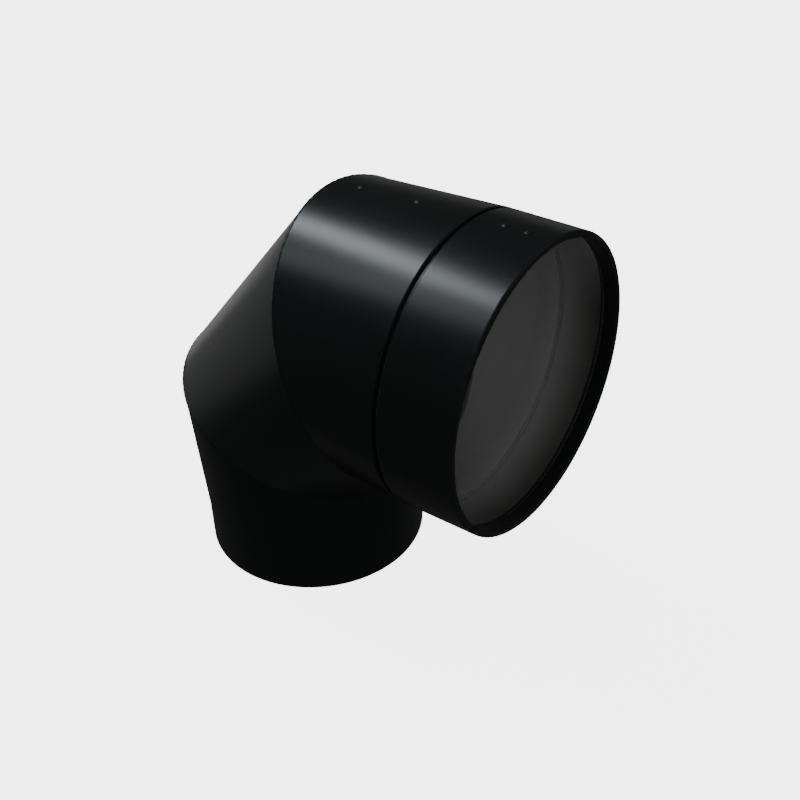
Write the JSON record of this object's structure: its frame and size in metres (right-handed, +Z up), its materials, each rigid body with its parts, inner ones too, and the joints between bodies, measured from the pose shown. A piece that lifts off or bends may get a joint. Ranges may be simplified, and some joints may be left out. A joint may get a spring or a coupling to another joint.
{
  "type": "flue elbow",
  "caption": "Twin-wall mitred flue elbow turning ninety degrees, with a round spigot inlet and a wider socket outlet whose collar swivels about its own axis.",
  "frame": {"origin": "centre of the inlet spigot's bottom face", "axes": "+Z up the inlet axis, +X along the outlet axis towards the mouth, +Y level and square to both"},
  "size_m": [0.2263, 0.1584, 0.2383],
  "materials": {
    "casing_paint": "satin heat-resistant black paint",
    "rim_paint": "satin heat-resistant black paint",
    "rivet_paint": "satin heat-resistant black paint",
    "liner_steel": "dull rolled stainless steel",
    "joint_steel": "mill-finish steel",
    "fibre_board": "pressed ceramic fibre",
    "seal_rope": "graphite-coated glass-fibre rope"
  },
  "bodies": {
    "elbow": {"casing_spigot_gore": "casing_paint", "casing_middle_gore": "casing_paint", "casing_upper_gore": "casing_paint", "spigot_end_ring": "rim_paint", "gore_rivets": "rivet_paint", "liner_spigot_gore": "liner_steel", "liner_middle_gore": "liner_steel", "liner_upper_gore": "liner_steel", "spigot_seam_strip": "joint_steel", "middle_seam_strip": "joint_steel", "upper_seam_strip": "joint_steel", "lower_spacers": "fibre_board", "middle_spacers": "fibre_board", "upper_spacers": "fibre_board", "swivel_seal": "seal_rope"},
    "collar": {"casing_collar": "casing_paint", "collar_rim_ring": "rim_paint", "collar_rivets": "rivet_paint", "liner_socket": "liner_steel", "collar_seam_strip": "joint_steel", "swivel_retaining_ring": "joint_steel", "swivel_stop_ring": "joint_steel", "collar_spacers": "fibre_board", "socket_rope_seal": "seal_rope"}
  },
  "joints": [
    {"name": "collar_swivel", "type": "hinge", "parent": "elbow", "child": "collar", "pos_m": [0.11185, 0, 0.15835], "axis": [1, 0, 0], "continuous": true}
  ]
}
